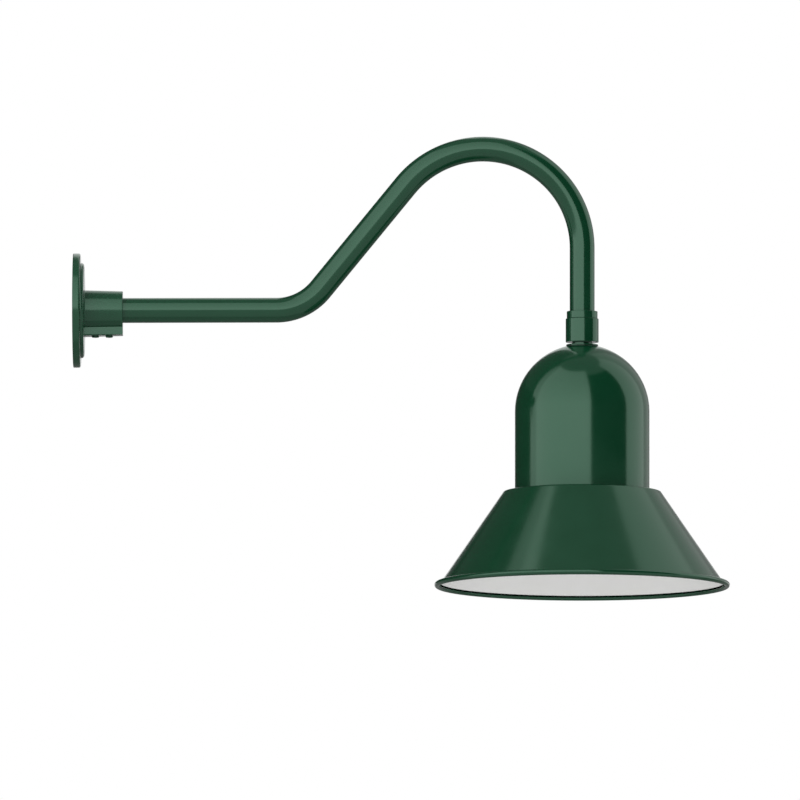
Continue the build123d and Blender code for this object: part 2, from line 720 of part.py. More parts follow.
def terminal_plate(turn):
    """Plate on the floor of a terminal pocket."""
    plate = Pos(0, 0, TERMINAL_PLATE / 2) * Box(TERMINAL_PLATE_WIDTH, TERMINAL_PLATE_HEIGHT, TERMINAL_PLATE)
    plate -= post(TERMINAL_SCREW_RADIUS + THREAD_GAP, 0, TERMINAL_PLATE)
    return terminal_side(turn) * terminal_place() * plate


def terminal_screw(turn):
    """Binding screw on a terminal plate."""
    screw = Pos(0, 0, TERMINAL_PLATE) * pan_head()
    screw += post(TERMINAL_SCREW_RADIUS, TERMINAL_PLATE - TERMINAL_SCREW_LENGTH, TERMINAL_PLATE)
    return terminal_side(turn) * terminal_place() * screw


# ---------------------------------------------------------------- all pieces
rear_place, front_place = set_screw_places()
pieces = {
    "wall_canopy": wall_canopy(),
    "canopy_gasket": canopy_gasket(),
    "ground_screw": ground_screw(),
    "rear_set_screw": set_screw(rear_place),
    "front_set_screw": set_screw(front_place),
    "gooseneck_arm": gooseneck_arm(),
    "lock_ring": lock_ring(),
    "shade_coupling": shade_coupling(),
    "flanged_nipple": flanged_nipple(),
    "crown_gasket": crown_gasket(),
    "dome_hood": dome_hood(),
    "crown_washer": crown_washer(),
    "socket_bracket": socket_bracket(),
    "locknut": locknut(),
    "wire_bushing": wire_bushing(),
    "bracket_screws": bracket_screws(),
    "porcelain_socket": porcelain_socket(),
    "contact_retainer": contact_retainer(),
    "screw_shell": screw_shell(),
    "shell_rivets": shell_rivets(),
    "centre_contact": centre_contact(),
    "contact_spring": contact_spring(),
    "line_terminal_plate": terminal_plate(0),
    "neutral_terminal_plate": terminal_plate(180),
    "line_terminal_screw": terminal_screw(0),
    "neutral_terminal_screw": terminal_screw(180),
    "reflector_skirt": reflector_skirt(),
    "shade_screws": shade_screws(),
    "shade_nuts": shade_nuts(),
}

os.makedirs("parts", exist_ok=True)
for name, shape in pieces.items():
    export_step(shape, f"parts/{name}.step")
    box = shape.bounding_box()
    print(f"{name:24s} {len(shape.solids()):2d} {shape.volume:12.1f} mm3  "
          f"{[round(v, 2) for v in (*box.min, *box.max)]}")
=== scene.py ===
"""The looks of a gooseneck wall sconce: a cast canopy, a bent pipe arm and a spun shade in gloss green
powder coat, white enamel inside the shade, and a porcelain lampholder on a steel strap. Sizes are written
in millimetres, and MM turns them to metres."""
import json
from math import asin, ceil, cos, degrees, pi, radians, sin, sqrt, tan

import bmesh
import bpy
from mathutils import Matrix, Vector

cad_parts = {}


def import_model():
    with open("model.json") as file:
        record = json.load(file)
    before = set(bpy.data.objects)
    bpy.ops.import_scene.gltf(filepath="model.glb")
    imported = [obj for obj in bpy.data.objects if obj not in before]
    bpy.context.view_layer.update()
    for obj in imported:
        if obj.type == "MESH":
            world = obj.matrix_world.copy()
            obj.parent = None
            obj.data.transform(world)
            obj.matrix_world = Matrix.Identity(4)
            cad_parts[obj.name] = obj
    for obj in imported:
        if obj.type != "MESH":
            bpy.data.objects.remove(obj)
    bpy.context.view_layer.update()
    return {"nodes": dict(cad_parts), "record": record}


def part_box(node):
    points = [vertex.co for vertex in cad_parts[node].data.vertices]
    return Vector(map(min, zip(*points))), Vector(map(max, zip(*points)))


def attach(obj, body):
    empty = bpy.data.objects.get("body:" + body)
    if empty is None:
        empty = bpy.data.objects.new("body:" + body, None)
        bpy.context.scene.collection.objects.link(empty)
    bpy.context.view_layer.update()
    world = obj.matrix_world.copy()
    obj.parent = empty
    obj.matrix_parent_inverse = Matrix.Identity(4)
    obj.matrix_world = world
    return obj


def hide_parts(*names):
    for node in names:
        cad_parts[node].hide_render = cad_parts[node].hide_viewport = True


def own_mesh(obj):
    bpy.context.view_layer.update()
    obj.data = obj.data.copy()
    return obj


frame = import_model()
MM = 0.001

# ---------------------------------------------------------------- sizes, in millimetres
# The photograph: a view with parallel lines, from just right of square on and from a little below.
VIEW_AZIMUTH = 1.3
VIEW_ELEVATION = -5.2
MM_PER_PIXEL = 1.067
IMAGE_PIXELS = 800
ORIGIN_PIXEL = (73.3, 310.6)  # where the centre of the canopy's wall face is in the photograph

# The arm's bends.
FIRST_BEND_START = 216.9
ARM_ANGLE = 50.7
LOWER_BEND_RADIUS = 60.8
TOP_BEND_RADIUS = 106.2
PIPE_WALL = 2.87

# The spun shade.
SHEET = 1.2
SHEET_BEND = 1.6
FREE_GAP = 0.3
NIPPLE_RADIUS = 10.67
DOME_FLANGE = 13.0
SHOULDER_WIDTH = 11.9
SHOULDER_ROUND = 3.0
BEAD_RADIUS = 3.0
BEAD_TURN = 270.0
RIM_LIP = 4.25

# Screws, the lamp's thread and the contact's spring.
SET_SCREW_PITCH = 1.41
SET_SCREW_KEY = 4.0
SET_SCREW_KEY_DEPTH = 5.0
CHAMFER = 0.7
SHADE_SCREW_RADIUS = 2.0
SHADE_SCREW_PITCH = 0.8
SHADE_SCREW_COUNT = 4
HEAD_RADIUS = 3.9
HEAD_HEIGHT = 2.4
HEAD_ROUND = 1.5
SLOT_WIDTH = 1.1
SLOT_DEPTH = 1.2
LAMP_THREAD_RADIUS = 13.3
LAMP_THREAD_PITCH = 3.63
LAMP_THREAD_DEPTH = 0.85
SHELL_SHEET = 0.5
SHELL_BEND = 1.2
SHELL_LEDGE = 5.0  # turned in at the shell's top, where its rivets go through
RIVET_HEAD_RADIUS, RIVET_RADIUS, RIVET_GAP = 2.5, 1.5, 0.05
CUTTER_PAST = 0.02  # how far a cutter runs past the faces that it cuts through
SPRING_RADIUS = 3.2
SPRING_WIRE_RADIUS = 0.4
SPRING_TURNS = 7
V_THREAD_DEPTH = 0.6  # share of the pitch, on machine screws

# How fine the meshes are.
ARC_STEP = 4.0  # degrees, round bends in a section
TURNS = 160  # sides of a large turned piece
SMALL_TURNS = 48
PIPE_SIDES = 72
BEND_STEPS = 60
COIL_STEPS = 24  # along one turn of the spring
WIRE_SIDES = 12
THREAD_STEPS = 10  # along one pitch
SAME = 1e-4  # points keep single precision, so lengths that differ by less than this are one
WELD = 1e-3  # points of a mesh that are nearer than this are joined
SOFT_ANGLE = 35.0  # an edge that turns less than this is shaded smooth
FLAT_ANGLE = 0.3  # triangles of a copy that turn less than this are one flat face
CASTING_SOFT_ANGLE = 16.0  # the casting's pad leaves the hub at a low angle

# The finishes.
COAT_GREEN = "#0A3822"
COAT_TINT = "#CDFFE4"  # of the coat's gloss
COAT_IOR = 1.8  # above polyester's own, to match the strength of the gloss in the photograph
PATCH_GRAINS = 10  # grains across one patch of a finish's colour
NOISE_LOW, NOISE_HIGH = 0.35, 0.65  # most of a noise lies between these

# The studio, in metres, and in degrees seen from its centre.
STUDIO_CENTRE = Vector((0.35, 0, -0.05))
CAMERA_DISTANCE = 3.0
AMBIENT = 0.85  # the world's strength where neither the camera nor gloss sees it
FLOOR_LEVEL = -4.2
FLOOR_REACH = 30.0  # from its middle to each side
FLOOR_GLOW = 0.35
LAMP_DISTANCE = 2.5
CARD_DISTANCE = 4.0
CARD_STEP = 5
CARDS = [  # name, azimuths, elevations, glow level with the object, glow overhead
    ("softbox", (-84, 19), (0, 67), 1.55, 0.88),
    ("softbox_end", (-99, -84), (0, 67), 1.1, 0.5),
    ("side_light", (83, 130), (0, 67), 1.05, 0.7),
    ("side_light_edge", (130, 156), (0, 67), 0.5, 0.5),
    ("dim_behind", (156, 169), (0, 67), 0.3, 0.3),
    ("dim_behind_left", (190, 200), (0, 67), 0.1, 0.1),
    ("dark_wall_side", (200, 262), (-4, 22), 0.03, 0.03),
    ("dim_corner", (200, 262), (22, 67), 0.07, 0.07),
    ("dark_gap", (19, 83), (0, 58), 0.0, 0.0),
    ("gap_top", (19, 83), (58, 67), 0.25, 0.25),
    ("ceiling", (-180, 180), (67, 90), 0.23, 0.23),
    ("front_below", (-110, 110), (-66, 0), 0.47, 0.47),
    ("below", (0, 360), (-90, -66), 0.28, 0.28),
    ("below_behind", (110, 250), (-66, -4), 0.2, 0.2),
]


# ---------------------------------------------------------------- places, from the frame
def corners(node):
    """Lowest and highest corner of a CAD node, in millimetres."""
    low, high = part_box(node)
    return low / MM, high / MM


arm_low, arm_high = corners("gooseneck_arm")
ring_low, ring_high = corners("lock_ring")
nipple_high = corners("flanged_nipple")[1]
dome_low, dome_high = corners("dome_hood")
skirt_low, skirt_high = corners("reflector_skirt")
reach = (ring_low.x + ring_high.x) / 2
pipe_radius = arm_high.y
dome_radius = dome_high.y
crown = dome_high.z
dome_centre = crown - sqrt(dome_radius**2 - nipple_high.y**2)
shoulder = dome_low.z
throat_radius = dome_radius - DOME_FLANGE
rim_top = skirt_low.z + 2 * BEAD_RADIUS
bead_middle = skirt_high.y - BEAD_RADIUS


# ---------------------------------------------------------------- nodes and colours
def add(tree, kind, inputs=None, **settings):
    """Adds a node to a tree. Its inputs, by name or number, get values or other nodes' outputs."""
    node = tree.nodes.new(kind)
    for name, value in settings.items():
        setattr(node, name, value)
    for key, value in (inputs or {}).items():
        if isinstance(value, bpy.types.NodeSocket):
            tree.links.new(value, node.inputs[key])
        else:
            node.inputs[key].default_value = value
    return node


def linear(hex_colour):
    """An sRGB hex colour as the linear RGBA that a shader takes."""
    shares = [int(hex_colour[i : i + 2], 16) / 255 for i in (1, 3, 5)]
    return [c / 12.92 if c <= 0.04045 else ((c + 0.055) / 1.055) ** 2.4 for c in shares] + [1.0]


# ---------------------------------------------------------------- finishes
def finish(name, colour, tint, roughness, grain, relief, metallic=0.0, specular_tint="#FFFFFF", ior=1.5):
    """A Principled finish. Its colour drifts to a tint, and its roughness between two values, in patches of
    several grains. The grain is a bump of the given relief. Grain and relief are in millimetres."""
    made = bpy.data.materials.new(name)
    made.use_nodes = True
    tree = made.node_tree
    shader = tree.nodes["Principled BSDF"]
    place = add(tree, "ShaderNodeTexCoord").outputs["Object"]
    patch_scale = 1 / (PATCH_GRAINS * grain * MM)
    patches = add(tree, "ShaderNodeTexNoise", {"Vector": place, "Scale": patch_scale, "Detail": 3.0})
    fine = add(tree, "ShaderNodeTexNoise", {"Vector": place, "Scale": 1 / (grain * MM), "Detail": 2.0})
    drift = add(
        tree,
        "ShaderNodeMapRange",
        {"Value": patches.outputs["Fac"], "From Min": NOISE_LOW, "From Max": NOISE_HIGH},
    ).outputs["Result"]
    mixed = add(
        tree, "ShaderNodeMix", {0: drift, 6: linear(colour), 7: linear(tint)}, data_type="RGBA"
    ).outputs[2]
    rough = add(tree, "ShaderNodeMapRange", {"Value": drift, "To Min": roughness[0], "To Max": roughness[1]})
    bump = add(tree, "ShaderNodeBump", {"Distance": relief * MM, "Height": fine.outputs["Fac"]})
    tree.links.new(mixed, shader.inputs["Base Color"])
    tree.links.new(rough.outputs["Result"], shader.inputs["Roughness"])
    tree.links.new(bump.outputs["Normal"], shader.inputs["Normal"])
    shader.inputs["Metallic"].default_value = metallic
    shader.inputs["Specular Tint"].default_value = linear(specular_tint)
    shader.inputs["IOR"].default_value = ior
    return made


def powder_coat(name, tint, roughness, grain, relief):
    """Gloss green polyester powder coat, whose gloss is green too."""
    return finish(name, COAT_GREEN, tint, roughness, grain, relief, specular_tint=COAT_TINT, ior=COAT_IOR)


def powder_coat_on_pipe():
    """The coat as baked on drawn pipe and spun sheet: a hard, wet-looking dark green with a faint orange
    peel, about 3 mm from crest to crest."""
    return powder_coat("gloss_green_powder_coat", "#0B3A24", (0.13, 0.16), grain=3.0, relief=0.006)


def powder_coat_on_casting():
    """The same coat over a sand casting, whose skin leaves softer, wider hills under the gloss."""
    return powder_coat("green_powder_coat_on_casting", "#0C3C26", (0.16, 0.2), grain=5.0, relief=0.02)


def white_enamel():
    """Baked white reflector enamel: bright, clean and only half gloss, so that the lamp isn't mirrored."""
    return finish("white_reflector_enamel", "#F8F8F7", "#F7F7F5", (0.36, 0.42), grain=2.5, relief=0.004)


def zinc_plate():
    """Bright zinc plate on pressed steel: cool grey with faint blue and yellow clouds."""
    return finish(
        "zinc_plated_steel", "#B9BDC0", "#B4B5AE", (0.26, 0.38), grain=0.8, relief=0.003, metallic=1.0
    )


def green_paint_on_screw():
    """Powder coat on the set screws, thin and a little rough in the thread."""
    return powder_coat("green_painted_steel", "#0F3F29", (0.18, 0.26), grain=1.2, relief=0.01)


def ground_green():
    """Dyed zinc plate on the ground screw: a clear bright green, as such screws have."""
    return finish("dyed_green_zinc", "#1D7A3C", "#196B36", (0.3, 0.4), grain=0.6, relief=0.003, metallic=0.5)


def spring_wire():
    """Hard-drawn stainless spring wire: bright and finely drawn."""
    return finish(
        "stainless_spring_wire", "#B4B4B2", "#A6A6A4", (0.2, 0.28), grain=0.3, relief=0.001, metallic=1.0
    )


def drawn_brass():
    """Deep-drawn yellow brass, with the first brown of tarnish."""
    return finish("drawn_brass", "#D6B25E", "#C39C4C", (0.2, 0.34), grain=1.0, relief=0.002, metallic=1.0)


def nickel_brass():
    """Nickel plate on the neutral terminal's screw: warm and silvery."""
    return finish(
        "nickel_plated_brass", "#CBC7BE", "#BEB9AE", (0.18, 0.26), grain=1.0, relief=0.002, metallic=1.0
    )


def glazed_porcelain():
    """Dry-pressed electrical porcelain under a clear glaze: warm white, wavy and very glossy."""
    made = finish("glazed_porcelain", "#EFECE2", "#E9E5D9", (0.07, 0.11), grain=4.0, relief=0.03)
    made.node_tree.nodes["Principled BSDF"].inputs["Subsurface Weight"].default_value = 0.08
    return made


def vulcanised_fibre():
    """Vulcanised fibre board: dense dark grey paper, dull and faintly fibrous."""
    return finish("vulcanised_fibre", "#4A4440", "#3C3733", (0.62, 0.74), grain=0.6, relief=0.01)


def moulded_nylon():
    """Natural moulded nylon: milky and half matt."""
    return finish("moulded_nylon", "#E2E0D6", "#D9D7CC", (0.38, 0.48), grain=1.5, relief=0.005)


def closed_cell_foam():
    """Closed-cell neoprene foam: black and matt, with pores drawn twice as coarse as they are so that they
    show."""
    return finish("closed_cell_foam", "#202122", "#2A2B2C", (0.82, 0.92), grain=0.6, relief=0.08)


coat = powder_coat_on_pipe()
cast_coat = powder_coat_on_casting()
screw_paint = green_paint_on_screw()
enamel = white_enamel()
zinc = zinc_plate()
brass = drawn_brass()


# ---------------------------------------------------------------- sections and turned pieces
def arc(x, y, radius, start, sweep):
    """Points on an arc about (x, y), from its start through its sweep, in degrees."""
    steps = ceil(abs(sweep) / ARC_STEP)
    turns = [radians(start + sweep * i / steps) for i in range(steps + 1)]
    return [Vector((x + radius * cos(t), y + radius * sin(t))) for t in turns]


def rounded(*bends):
    """Points along straight lines through bends given as (x, y, rounding)."""
    points = []
    for i, (x, y, rounding) in enumerate(bends):
        here = Vector((x, y))
        if not rounding:
            points.append(here)
            continue
        back = (Vector(bends[i - 1][:2]) - here).normalized()
        ahead = (Vector(bends[(i + 1) % len(bends)][:2]) - here).normalized()
        half = back.angle(ahead) / 2
        middle = here + (back + ahead).normalized() * (rounding / sin(half))
        first = here + back * (rounding / tan(half)) - middle
        turn = (pi - 2 * half) * (1 if back.cross(ahead) < 0 else -1)
        steps = ceil(abs(degrees(turn)) / ARC_STEP)
        points += [middle + Matrix.Rotation(turn * k / steps, 2) @ first for k in range(steps + 1)]
    return points


def without_doubles(line):
    """The line without points that repeat the one before."""
    return [p for i, p in enumerate(line) if not i or (p - line[i - 1]).length > SAME]


def far_side(line, thickness):
    """The other side of a sheet whose outside is the line, on the right of its way."""
    side = []
    for i, point in enumerate(line):
        near = line[max(i - 1, 0) : i + 2]
        ways = [b - a for a, b in zip(near, near[1:])]
        rights = [Vector((w.y, -w.x)).normalized() for w in ways]
        middle = sum(rights, Vector((0, 0))).normalized()
        side.append(point + middle * thickness / middle.dot(rights[0]))
    return side


def upright(x):
    """The place function of a piece turned about the vertical at x: radius, level and turn to a point."""
    return lambda radius, level, turn: Vector((x + radius * cos(turn), radius * sin(turn), level)) * MM


def v_form(phase):
    """A machine thread: straight flanks, from 1 at the root to 0 at the crest."""
    return 1 - abs(2 * phase - 1)


def knuckle_form(phase):
    """A rolled lamp thread: a wave from 0 to 1."""
    return (1 - cos(2 * pi * phase)) / 2


def threaded(place, form, radii, pitch, depth, bottom, top):
    """A place function that cuts a right-hand thread into the points at these radii between two levels."""

    def cut(radius, level, turn):
        run_out = min(1.0, (level - bottom) / pitch, (top - level) / pitch)
        if run_out > 0 and any(abs(radius - own) < SAME for own in radii):
            radius -= depth * run_out * form((level / pitch - turn / (2 * pi)) % 1)
        return place(radius, level, turn)

    return cut


def hexed(place, apothem):
    """A place function that makes a hexagon of the points at this radius."""

    def bend(radius, level, turn):
        if abs(radius - apothem) < SAME:
            radius /= cos((turn + pi / 6) % (pi / 3) - pi / 6)
        return place(radius, level, turn)

    return bend


def run(radius, start, end, pitch):
    """Points along a threaded stretch, fine enough to show its form."""
    steps = ceil(THREAD_STEPS * abs(end - start) / pitch)
    return [Vector((radius, start + (end - start) * i / steps)) for i in range(steps + 1)]


def turned(name, stretches, place, sides=TURNS):
    """A closed section turned about an axis. Its stretches are (points, finish), each run on to the next."""
    edges = [(point, slot) for slot, (points, _) in enumerate(stretches) for point in points]
    mesh = bmesh.new()
    rings = []
    for point, _ in edges:
        rings.append([mesh.verts.new(place(*point, 2 * pi * k / sides)) for k in range(sides)])
    for i, (_, slot) in enumerate(edges):
        ring, other = rings[i], rings[(i + 1) % len(rings)]
        for k in range(sides):
            face = mesh.faces.new((ring[k], ring[k - 1], other[k - 1], other[k]))
            face.material_index = slot
    weld(mesh)
    return finished(name, mesh, [material for _, material in stretches])


def weld(mesh):
    """Joins the points of a mesh that are in one place, and turns its faces outwards."""
    bmesh.ops.remove_doubles(mesh, verts=mesh.verts, dist=WELD * MM)
    bmesh.ops.recalc_face_normals(mesh, faces=mesh.faces)


def finished(name, mesh, materials, soft_angle=SOFT_ANGLE):
    """An object from a bmesh, shaded smooth but for the edges that turn by more than the soft angle."""
    data = bpy.data.meshes.new(name)
    mesh.to_mesh(data)
    mesh.free()
    for material in materials:
        data.materials.append(material)
    data.shade_smooth()
    data.set_sharp_from_angle(angle=radians(soft_angle))
    piece = bpy.data.objects.new(name, data)
    bpy.context.scene.collection.objects.link(piece)
    return piece


def baked(piece):
    """The mesh that an object's modifiers make of it, with its materials. The object goes."""
    evaluated = piece.evaluated_get(bpy.context.evaluated_depsgraph_get())
    data = bpy.data.meshes.new_from_object(evaluated)
    mesh = bmesh.new()
    mesh.from_mesh(data)
    materials = list(data.materials)
    discard(piece)
    bpy.data.meshes.remove(data)
    return mesh, materials


def discard(piece):
    """Removes an object and its mesh."""
    data = piece.data
    bpy.data.objects.remove(piece)
    bpy.data.meshes.remove(data)


def countersunk(piece, centres, head, shank, low, high):
    """A piece with tapered holes cut through it, from the head's radius at low to the shank's at high."""
    spread = CUTTER_PAST * (head - shank) / (high - low)
    cones = bmesh.new()
    for centre in centres:
        bmesh.ops.create_cone(
            cones,
            cap_ends=True,
            segments=SMALL_TURNS,
            radius1=(head + spread) * MM,
            radius2=(shank - spread) * MM,
            depth=(high - low + 2 * CUTTER_PAST) * MM,
            matrix=Matrix.Translation(Vector((*centre, (low + high) / 2)) * MM),
        )
    cutter = finished(piece.name + "_cutter", cones, [])
    modifier = piece.modifiers.new("countersinks", "BOOLEAN")
    modifier.operation, modifier.solver, modifier.object = "DIFFERENCE", "EXACT", cutter
    name = piece.name
    mesh, materials = baked(piece)
    discard(cutter)
    return finished(name, mesh, materials)


def stands_for(piece, node, body):
    """Puts a piece in a CAD node's place, on its body, and hides the CAD node."""
    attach(piece, body)
    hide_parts(node)


# ---------------------------------------------------------------- geometry trees
def new_tree(name, inputs):
    """A geometry tree with named inputs, given as {name: kind}. Returns it and its group input node."""
    tree = bpy.data.node_groups.new(name, "GeometryNodeTree")
    tree.interface.new_socket("Geometry", in_out="OUTPUT", socket_type="NodeSocketGeometry")
    for label, kind in inputs.items():
        tree.interface.new_socket(label, in_out="INPUT", socket_type="NodeSocket" + kind)
    return tree, add(tree, "NodeGroupInput")


def end_tree(tree, geometry, material):
    """Ends a tree in real geometry with its finish."""
    real = add(tree, "GeometryNodeRealizeInstances", {"Geometry": geometry})
    coated = add(tree, "GeometryNodeSetMaterial", {"Geometry": real.outputs[0], "Material": material})
    add(tree, "NodeGroupOutput", {"Geometry": coated.outputs[0]})


def grown(name, tree, values, wall=0.0):
    """A plain mesh object from a geometry tree with these values at its inputs. A wall makes it a shell."""
    seed = bpy.data.objects.new(name + "_seed", bpy.data.meshes.new(name + "_seed"))
    bpy.context.scene.collection.objects.link(seed)
    modifier = seed.modifiers.new("grow", "NODES")
    modifier.node_group = tree
    for item in tree.interface.items_tree:
        if item.in_out == "INPUT":
            modifier[item.identifier] = values[item.name]
    if wall:
        shell = seed.modifiers.new("wall", "SOLIDIFY")
        shell.thickness = wall * MM
        shell.offset = -1.0
    mesh, materials = baked(seed)
    weld(mesh)
    return finished(name, mesh, materials)


def bent_pipe_tree():
    """A pipe through four corners, with a bend of its own radius at each of the two between its ends."""
    kinds = {label: "Vector" for label in ("Start", "First Corner", "Second Corner", "End")}
    kinds |= {"First Radius": "Float", "Second Radius": "Float", "Pipe Radius": "Float"}
    kinds |= {"Bend Steps": "Int", "Sides": "Int", "Material": "Material"}
    tree, given = new_tree("bent_pipe", kinds)
    first_point = 7  # the number of the node's input for its first corner
    stops = {first_point + i: given.outputs[label] for i, label in enumerate(list(kinds)[:4])}
    loop = add(tree, "GeometryNodeCurvePrimitiveQuadrilateral", stops, mode="POINTS")
    line = add(tree, "GeometryNodeSetSplineCyclic", {"Geometry": loop.outputs[0], "Cyclic": False})
    index = add(tree, "GeometryNodeInputIndex").outputs[0]
    second = add(tree, "FunctionNodeCompare", {2: index, 3: 1}, data_type="INT", operation="GREATER_THAN")
    radii = {"False": given.outputs["First Radius"], "True": given.outputs["Second Radius"]}
    radius = add(tree, "GeometryNodeSwitch", {"Switch": second.outputs[0], **radii}, input_type="FLOAT")
    route = add(
        tree,
        "GeometryNodeFilletCurve",
        {"Curve": line.outputs[0], "Count": given.outputs["Bend Steps"], "Radius": radius.outputs[0]},
        mode="POLY",
    )
    ring = add(
        tree,
        "GeometryNodeCurvePrimitiveCircle",
        {"Resolution": given.outputs["Sides"], "Radius": given.outputs["Pipe Radius"]},
    )
    swept = {"Curve": route.outputs[0], "Profile Curve": ring.outputs[0]}
    pipe = add(tree, "GeometryNodeCurveToMesh", swept)
    end_tree(tree, pipe.outputs[0], given.outputs["Material"])
    return tree


# ---------------------------------------------------------------- pieces
def gooseneck_arm():
    """The bent pipe, with its wall thickness added inwards."""
    rise = radians(ARM_ANGLE)
    first = FIRST_BEND_START + LOWER_BEND_RADIUS * tan(rise / 2)
    values = {
        "Start": Vector((arm_low.x, 0, 0)) * MM,
        "First Corner": Vector((first, 0, 0)) * MM,
        "Second Corner": Vector((reach, 0, (reach - first) * tan(rise))) * MM,
        "End": Vector((reach, 0, arm_low.z)) * MM,
        "First Radius": LOWER_BEND_RADIUS * MM,
        "Second Radius": TOP_BEND_RADIUS * MM,
        "Pipe Radius": pipe_radius * MM,
        "Bend Steps": BEND_STEPS,
        "Sides": PIPE_SIDES,
        "Material": coat,
    }
    piece = grown("gooseneck_arm_pipe", bent_pipe_tree(), values, PIPE_WALL)
    stands_for(piece, "gooseneck_arm", "arm_and_shade")


def dome_hood():
    """Spun dome with a flat crown, a straight neck and a flange turned in at the bottom. White inside."""
    crown_angle = degrees(asin((crown - dome_centre) / dome_radius))
    outside = without_doubles(
        [Vector((NIPPLE_RADIUS + FREE_GAP, crown))]
        + arc(0, dome_centre, dome_radius, crown_angle, -crown_angle)
        + rounded(
            (dome_radius, dome_centre, 0), (dome_radius, shoulder, SHEET_BEND), (throat_radius, shoulder, 0)
        )
    )
    inside = far_side(outside, SHEET)[::-1]
    piece = turned("dome_hood_spinning", [(outside, coat), (inside, enamel)], upright(reach))
    stands_for(piece, "dome_hood", "arm_and_shade")


def reflector_skirt():
    """Spun reflector: flat shoulder, cone, and a rim rolled outwards. White inside, green round the bead."""
    wall = rounded(
        (throat_radius, shoulder, 0),
        (dome_radius + SHOULDER_WIDTH, shoulder, SHOULDER_ROUND),
        (bead_middle - RIM_LIP, rim_top, SHEET_BEND),
        (bead_middle, rim_top, 0),
    )
    bead = arc(bead_middle, rim_top - BEAD_RADIUS, BEAD_RADIUS, 90, -BEAD_TURN)
    outside = without_doubles(wall + bead)
    inside = far_side(outside, SHEET)[::-1]
    rolled = len(bead)
    stretches = [(outside + inside[:rolled], coat), (inside[rolled:], enamel)]
    piece = turned("reflector_skirt_spinning", stretches, upright(reach))
    stands_for(piece, "reflector_skirt", "arm_and_shade")


def set_screws():
    """Hexagon socket set screws with a flat tip, standing up through the pad."""
    for node in ("rear_set_screw", "front_set_screw"):
        low, high = corners(node)
        radius, axis = (high.x - low.x) / 2, (high.x + low.x) / 2
        key = SET_SCREW_KEY / 2
        thread_low, thread_high = low.z + CHAMFER, high.z - CHAMFER
        socket_top = low.z + SET_SCREW_KEY_DEPTH
        section = (
            [Vector((0, high.z)), Vector((radius - CHAMFER, high.z))]
            + run(radius, thread_high, thread_low, SET_SCREW_PITCH)
            + [Vector((radius - CHAMFER, low.z)), Vector((key, low.z))]
            + [Vector((key, socket_top)), Vector((0, socket_top + key / 2))]
        )
        depth = V_THREAD_DEPTH * SET_SCREW_PITCH
        place = hexed(upright(axis), key)
        place = threaded(place, v_form, (radius,), SET_SCREW_PITCH, depth, thread_low, thread_high)
        piece = turned(node + "_threaded", [(section, screw_paint)], place, SMALL_TURNS)
        stands_for(piece, node, node)


def screw_ring_tree():
    """Cuts a driver slot across a screw and repeats the screw evenly round a ring."""
    kinds = {"Screw": "Object", "Slot Size": "Vector", "Slot Place": "Vector", "Count": "Int"}
    kinds |= {"Ring Radius": "Float", "First Turn": "Float", "Centre": "Vector", "Material": "Material"}
    tree, given = new_tree("screw_ring", kinds)
    screw = add(tree, "GeometryNodeObjectInfo", {"Object": given.outputs["Screw"]})
    slot = add(tree, "GeometryNodeMeshCube", {"Size": given.outputs["Slot Size"]})
    slot = add(
        tree,
        "GeometryNodeTransform",
        {"Geometry": slot.outputs[0], "Translation": given.outputs["Slot Place"]},
    )
    driven = add(
        tree,
        "GeometryNodeMeshBoolean",
        {0: screw.outputs["Geometry"], 1: slot.outputs[0]},
        operation="DIFFERENCE",
        solver="EXACT",
    )
    step = add(tree, "ShaderNodeMath", {0: 2 * pi, 1: given.outputs["Count"]}, operation="DIVIDE")
    index = add(tree, "GeometryNodeInputIndex")
    turn = add(
        tree,
        "ShaderNodeMath",
        {0: index.outputs[0], 1: step.outputs[0], 2: given.outputs["First Turn"]},
        operation="MULTIPLY_ADD",
    )
    out = add(tree, "ShaderNodeCombineXYZ", {"X": given.outputs["Ring Radius"]})
    place = add(
        tree,
        "ShaderNodeVectorRotate",
        {"Vector": out.outputs[0], "Angle": turn.outputs[0]},
        rotation_type="Z_AXIS",
    )
    centred = add(
        tree, "ShaderNodeVectorMath", {0: place.outputs[0], 1: given.outputs["Centre"]}, operation="ADD"
    )
    points = add(
        tree, "GeometryNodePoints", {"Count": given.outputs["Count"], "Position": centred.outputs[0]}
    )
    facing = add(tree, "ShaderNodeCombineXYZ", {"Z": turn.outputs[0]})
    facing = add(tree, "FunctionNodeEulerToRotation", {"Euler": facing.outputs[0]})
    ring = add(
        tree,
        "GeometryNodeInstanceOnPoints",
        {"Points": points.outputs[0], "Instance": driven.outputs[0], "Rotation": facing.outputs[0]},
    )
    end_tree(tree, ring.outputs[0], given.outputs["Material"])
    return tree


